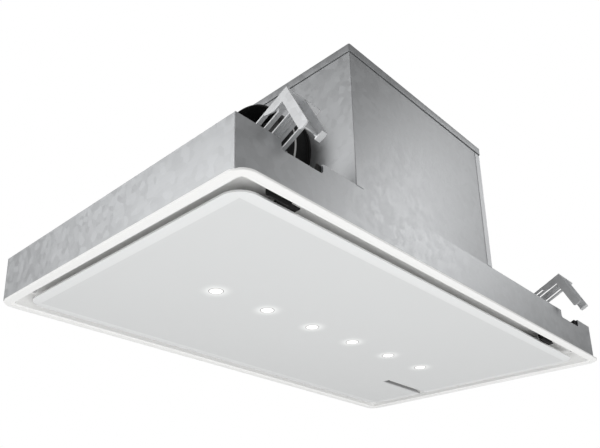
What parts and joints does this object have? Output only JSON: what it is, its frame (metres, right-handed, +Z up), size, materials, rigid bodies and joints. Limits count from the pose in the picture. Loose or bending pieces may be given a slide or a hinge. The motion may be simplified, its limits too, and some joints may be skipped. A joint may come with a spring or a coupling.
{
  "type": "ceiling range hood",
  "caption": "Flush ceiling extractor hood: white rim and hinged glass panel with a perimeter air gap, steel body, motor box, side duct spigot and swing clamps.",
  "frame": {"origin": "middle of the ceiling plane: the plane where the rim's upper face meets the ceiling", "axes": "+X along the long side towards the end away from the motor box, +Y from the panel's hinge side to its catch side, +Z up into the ceiling void"},
  "size_m": [0.9, 0.5496, 0.278],
  "materials": {
    "trim_paint": "satin white powder coat",
    "zinc_sheet": "galvanised sheet",
    "screw_steel": "zinc plated",
    "shaft_steel": "ground",
    "latch_steel": "brushed",
    "claw_zinc": "galvanised sheet",
    "blower_plastic": "moulded",
    "impeller_plastic": "moulded",
    "motor_paint": "dark enamel",
    "capacitor_plastic": "smooth",
    "black_plastic": "moulded",
    "damper_plastic": "moulded",
    "seal_rubber": "soft lip",
    "filter_mesh": "layered mesh",
    "white_glass": "back-painted white glass, opaque",
    "tray_paint": "satin",
    "lamp_lens": "frosted",
    "lamp_can": "cast",
    "trough_plastic": "moulded white",
    "window_plastic": "dark translucent",
    "key_plastic": "moulded",
    "hinge_black": "black",
    "magnet_black": "moulded",
    "case_plastic": "moulded"
  },
  "bodies": {
    "housing": {"trim_frame": "trim_paint", "body_shell": "zinc_sheet", "body_top_plate": "zinc_sheet", "motor_box": "zinc_sheet", "motor_box_lid": "zinc_sheet", "lid_screws": "screw_steel", "blower_scroll": "blower_plastic", "scroll_floor": "blower_plastic", "scroll_cover": "blower_plastic", "blower_deck": "zinc_sheet", "inlet_ring": "blower_plastic", "fan_motor": "motor_paint", "motor_bracket": "zinc_sheet", "run_capacitor": "capacitor_plastic", "outlet_spigot": "black_plastic", "spigot_seal": "seal_rubber", "damper_pin": "shaft_steel", "grease_filter_left": "filter_mesh", "grease_filter_right": "filter_mesh", "filter_carrier": "trim_paint", "carrier_screws": "screw_steel", "hinge_block_left": "hinge_black", "hinge_block_right": "hinge_black", "hinge_pins": "hinge_black", "catch_magnets": "magnet_black", "clamp_base_front_left": "zinc_sheet", "clamp_base_front_right": "zinc_sheet", "clamp_base_back_left": "zinc_sheet", "clamp_base_back_right": "zinc_sheet", "clamp_pins": "shaft_steel", "clamp_screws": "screw_steel", "control_case": "case_plastic", "control_lid": "case_plastic", "case_screws": "screw_steel", "cable_gland": "black_plastic"},
    "impeller": {"impeller": "impeller_plastic", "impeller_band": "impeller_plastic", "impeller_blades": "impeller_plastic", "impeller_shaft": "shaft_steel"},
    "damper_front": {"damper_flap_front": "damper_plastic"},
    "damper_back": {"damper_flap_back": "damper_plastic"},
    "latch_left": {"filter_latch_left": "latch_steel"},
    "latch_right": {"filter_latch_right": "latch_steel"},
    "panel": {"glass_panel": "white_glass", "panel_tray": "tray_paint", "tray_rim": "tray_paint", "lamp_lenses": "lamp_lens", "lamp_cans": "lamp_can", "touch_trough": "trough_plastic", "receiver_window": "window_plastic", "hinge_strap_left": "hinge_black", "hinge_strap_right": "hinge_black", "catch_strikers": "latch_steel"},
    "power_key": {"power_key": "key_plastic"},
    "claw_front_left": {"clamp_claw_front_left": "claw_zinc"},
    "claw_front_right": {"clamp_claw_front_right": "claw_zinc"},
    "claw_back_left": {"clamp_claw_back_left": "claw_zinc"},
    "claw_back_right": {"clamp_claw_back_right": "claw_zinc"}
  },
  "joints": [
    {"name": "impeller_spin", "type": "hinge", "parent": "housing", "child": "impeller", "pos_m": [-0.0815, 0, 0.14], "axis": [0, 0, 1], "continuous": true},
    {"name": "damper_front_swing", "type": "hinge", "parent": "housing", "child": "damper_front", "pos_m": [-0.262, -0.096, 0.148], "axis": [0, 0, -1], "range_deg": [0, 75], "stiffness_Nm_per_rad": 0.004, "springref_deg": -5.73},
    {"name": "damper_back_swing", "type": "hinge", "parent": "housing", "child": "damper_back", "pos_m": [-0.262, -0.096, 0.148], "axis": [0, 0, 1], "range_deg": [0, 75], "stiffness_Nm_per_rad": 0.004, "springref_deg": -5.73},
    {"name": "panel_swing", "type": "hinge", "parent": "housing", "child": "panel", "pos_m": [0, -0.23, 0.003], "axis": [-1, 0, 0], "range_deg": [0, 85]},
    {"name": "power_key_press", "type": "slide", "parent": "panel", "child": "power_key", "axis": [0, 0, 1], "range_m": [0, 0.001], "stiffness_N_per_m": 500, "springref_m": -0.0005},
    {"name": "filter_latch_left_slide", "type": "slide", "parent": "housing", "child": "latch_left", "axis": [0, 1, 0], "range_m": [0, 0.007], "stiffness_N_per_m": 200, "springref_m": -0.004},
    {"name": "filter_latch_right_slide", "type": "slide", "parent": "housing", "child": "latch_right", "axis": [0, 1, 0], "range_m": [0, 0.007], "stiffness_N_per_m": 200, "springref_m": -0.004},
    {"name": "claw_front_left_swing", "type": "hinge", "parent": "housing", "child": "claw_front_left", "pos_m": [-0.345, -0.182, 0.0985], "axis": [-1, 0, 0], "range_deg": [-11, 79]},
    {"name": "claw_front_right_swing", "type": "hinge", "parent": "housing", "child": "claw_front_right", "pos_m": [0.363, -0.182, 0.0985], "axis": [-1, 0, 0], "range_deg": [-11, 79]},
    {"name": "claw_back_left_swing", "type": "hinge", "parent": "housing", "child": "claw_back_left", "pos_m": [-0.345, 0.182, 0.0985], "axis": [1, 0, 0], "range_deg": [-11, 79]},
    {"name": "claw_back_right_swing", "type": "hinge", "parent": "housing", "child": "claw_back_right", "pos_m": [0.363, 0.182, 0.0985], "axis": [1, 0, 0], "range_deg": [-11, 79]}
  ]
}
